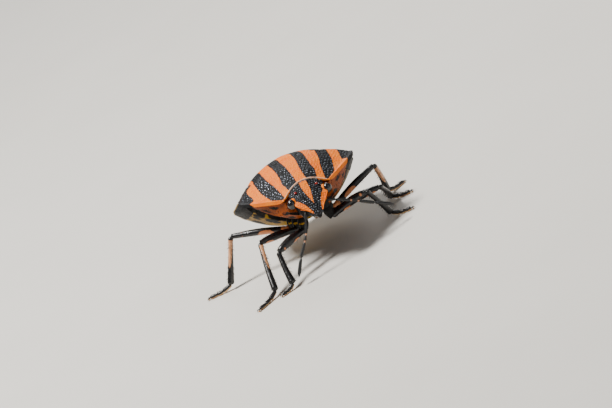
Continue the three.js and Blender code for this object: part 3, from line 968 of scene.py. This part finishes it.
# A foot of three joints, with two claws and the pads between them
def addFoot(leg, title, ankle, toe):
    ahead = toe - ankle
    ahead.z = 0
    ahead.normalize()
    across = upward.cross(ahead)
    start = ankle + ahead * 0.02

    def over(t, height):
        spot = start.lerp(toe, t)
        spot.z = height
        return spot

    path = [over(-0.02, start.z)] + [over(t, height) for t, height in legLook["footArch"]]
    pieces = [makeLimb("tarsus" + title, path, through(legLook["footRadius"]), 18, 60, footInk, lowest=0.0)]
    for turn in (-1, 1):
        root = toe + across * turn * 0.03
        tip = toe + ahead * legLook["claw"] + across * turn * 0.12
        tip.z = 0.02
        arch = root.lerp(tip, 0.6) + Vector((0, 0, 0.07))
        pieces.append(makeLimb("claw", [root, arch, tip], through(legLook["clawRadius"]), 10, 12))
        pad = toe + ahead * 0.08 + across * turn * 0.055
        pad.z = 0.045
        pieces.append(makeLump("pad", pad, legLook["pad"], segments=14, rings=10, ink=lambda co: -0.2))
    foot = joinPieces("tarsus" + title, pieces)
    hairs = limbHairs(over(0, 0.2), over(1, 0.115), lambda t: 0.1, legLook["hairsOnFoot"],
                      legLook["shortHair"], 0.05, 0.95)
    clear = [(root, lean, length) for root, lean, length in hairs
             if root.z + lean.normalized().z * length > 0.01]  # none through the floor
    addHairs(foot, clear, 0.008)
    settle(foot, footPaint, ["tarsus_" + leg], toFile)


for leg, place in legs.items():
    side, row = leg.split("_")
    title = side.capitalize() + row.capitalize()
    sign = 1 if side == "left" else -1
    root = legRows[row]["hip"]
    hip = toBody @ Vector((sign * root[0], root[1], root[2]))
    knee = Vector(place["knee"])
    ankle = Vector(place["ankle"])
    toe = Vector((*place["toe"], legLook["sole"]))
    addCoxa(title, sign, root, hip, knee)
    addThigh(leg, title, row, hip, knee)
    addShin(leg, title, row, knee, ankle)
    addFoot(leg, title, ankle, toe)
    print("leg", leg, "stands")


# Antennae, five joints each
antennae = {
    "paths": {"left": [(0.62, -2.82, 3.2), (1.0, -2.88, 2.98), (1.52, -2.9, 2.63), (1.9, -2.85, 2.35),
                       (2.65, -2.7, 1.77), (3.61, -2.5, 1.02)],
              "right": [(-0.64, -2.92, 3.2), (-0.85, -3.0, 2.85), (-1.16, -3.1, 2.3), (-1.44, -3.2, 1.97),
                        (-2.09, -3.35, 1.27), (-2.65, -3.5, 0.53)]},
    "paleJoints": (0.34, 0.45),
    "radius": [(0, 0.05), (0.03, 0.085), (0.1, 0.08), (0.12, 0.045), (0.15, 0.06), (0.31, 0.075),
               (0.34, 0.042), (0.37, 0.062), (0.43, 0.07), (0.45, 0.04), (0.49, 0.07), (0.62, 0.085),
               (0.68, 0.07), (0.7, 0.035), (0.74, 0.075), (0.85, 0.095), (0.94, 0.08), (1, 0.008)],
    "hairsPerStretch": 34, "hair": (0.04, 0.09), "hairThick": 0.006,
    "baseAt": (0.66, -2.72, -1.0), "baseRadii": (0.15, 0.16, 0.17),
}


def antennaInk(t, angle):
    return 0.1 - sum(0.22 * bell(t, joint, 0.014) for joint in antennae["paleJoints"])


def baseInk(co):
    return 0.12 - abs(co.z - antennae["baseAt"][2]) * 1.2


for side, sign in (("left", 1), ("right", -1)):
    path = [Vector(point) for point in antennae["paths"][side]]
    feeler = makeLimb("antenna" + side.capitalize(), path, through(antennae["radius"]), 16, 120, antennaInk)
    roots = []
    for a, b in zip(path, path[1:]):
        roots += limbHairs(a, b, lambda t: 0.06, antennae["hairsPerStretch"], antennae["hair"], 0, 1)
    addHairs(feeler, roots, antennae["hairThick"])
    settle(feeler, antennaPaint, ["antenna_" + side], toFile)
    baseX, baseY, baseZ = antennae["baseAt"]
    base = makeLump("antennaBase" + side.capitalize(), (sign * baseX, baseY, baseZ), antennae["baseRadii"],
                    ink=baseInk)
    settle(base, headPaint, [], bodyToFile)
print("antennae set")


# Floor and light
stage = {
    "floorSize": 3, "floor": (214, 211, 204), "aim": (0, 0, 3), "sky": 0.19, "skyColour": (1, 0.98, 0.95, 1),
    "lights": {
        "keyLight": {"at": (-60, 10, 150), "size": 42, "power": 0.56, "colour": (1, 0.98, 0.95)},
        "fillLight": {"at": (110, -120, 60), "size": 120, "power": 0.03, "colour": (0.93, 0.97, 1)},
        "rimLight": {"at": (40, 140, 90), "size": 80, "power": 0.1, "colour": (1, 1, 1)},
    },
}
fresh()
bpy.ops.mesh.primitive_plane_add(size=stage["floorSize"])
floor = named("floor")
floorPaint = Paint("paleFloor")
floorColour = floorPaint.blend(floorPaint.noise(8).clamp(), srgb(*stage["floor"]),
                               srgb(*[c - 6 for c in stage["floor"]]))
floor.data.materials.append(floorPaint.finish(Base_Color=floorColour, Roughness=0.85))
for name, lamp in stage["lights"].items():
    fresh()
    bpy.ops.object.light_add(type="AREA", location=[c * mm for c in lamp["at"]])
    light = bpy.context.object
    light.name = name
    light.data.size = lamp["size"] * mm
    light.data.energy = lamp["power"]
    light.data.color = lamp["colour"]
    aim = Vector(stage["aim"]) - Vector(lamp["at"])
    light.rotation_euler = aim.to_track_quat("-Z", "Y").to_euler()
world = bpy.data.worlds.new("paleRoom")
bpy.context.scene.world = world
world.use_nodes = True
world.node_tree.nodes["Background"].inputs[0].default_value = stage["skyColour"]
world.node_tree.nodes["Background"].inputs[1].default_value = stage["sky"]

# The photograph's camera: it looks at a point of the body from in front, above and a little to its right
view = {"aim": (-0.234, -0.354, 2.849), "distance": 200, "azimuth": -4.4574, "elevation": 15.4227,
        "roll": -29.2545, "pixelsPerMm": 19.2, "photoWidth": 612, "sensor": 36, "nearest": 0.005}
cameraData = bpy.data.cameras.new("photoCamera")
camera = bpy.data.objects.new("photoCamera", cameraData)
bpy.context.collection.objects.link(camera)
turned = (Matrix.Rotation(math.radians(view["azimuth"]), 4, "Z")
          @ Matrix.Rotation(math.radians(90 - view["elevation"]), 4, "X")
          @ Matrix.Rotation(math.radians(view["roll"]), 4, "Z"))
backwards = turned @ Vector((0, 0, view["distance"]))
camera.matrix_world = Matrix.Translation((Vector(view["aim"]) + shift + backwards) * mm) @ turned
cameraData.sensor_width = view["sensor"]
cameraData.lens = view["sensor"] * view["pixelsPerMm"] * view["distance"] / view["photoWidth"]
cameraData.clip_start = view["nearest"]
bpy.context.scene.camera = camera
print("floor, lights and camera set")
